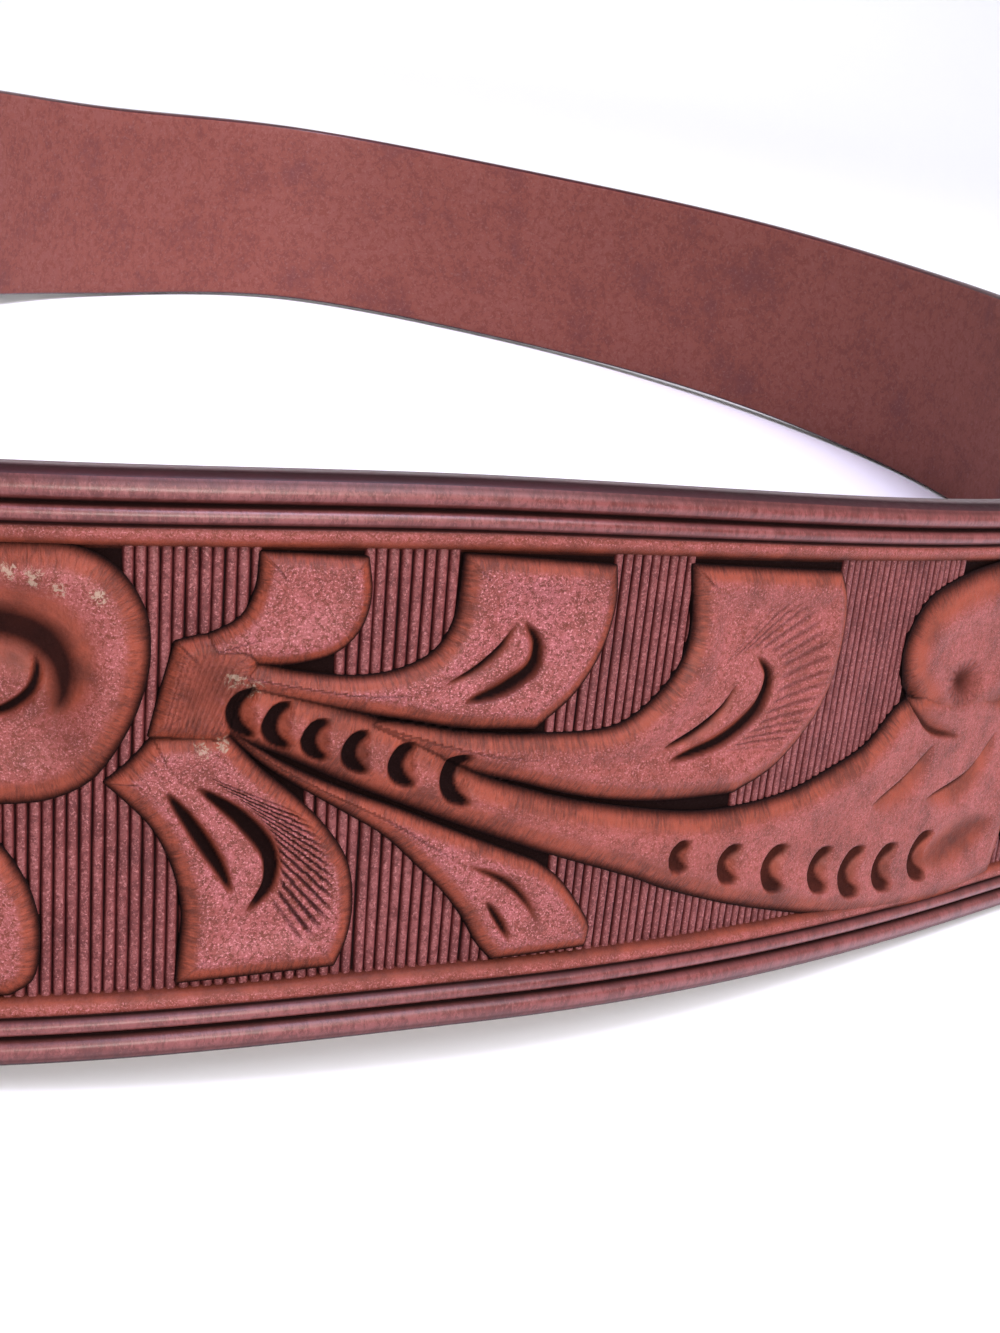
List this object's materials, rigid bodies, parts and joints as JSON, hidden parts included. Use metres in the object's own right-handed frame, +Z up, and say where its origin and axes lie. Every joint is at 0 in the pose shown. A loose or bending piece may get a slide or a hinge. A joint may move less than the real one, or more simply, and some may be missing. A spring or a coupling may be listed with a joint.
{
  "type": "western tooled belt",
  "caption": "Carved leather waist belt fastened into a standing loop, with beaded borders, a floral scroll on a ribbed ground, a plain prong buckle, a keeper and a pointed tail.",
  "frame": {"origin": "on the floor under the middle of the belt's box", "axes": "+Z up across the strap's width, +Y from the carved front stretch to the far stretch, -X towards the buckle"},
  "size_m": [0.231, 0.334, 0.0473],
  "materials": {
    "tooled_leather": "antiqued and burnished, dark in the recesses",
    "plain_leather": "burnished",
    "buckle_steel": "satin",
    "rivet_steel": "satin"
  },
  "bodies": {
    "root": {"strap": "tooled_leather", "buckle": "buckle_steel", "keeper": "plain_leather", "rivet_1": "rivet_steel", "rivet_2": "rivet_steel"}
  },
  "joints": []
}
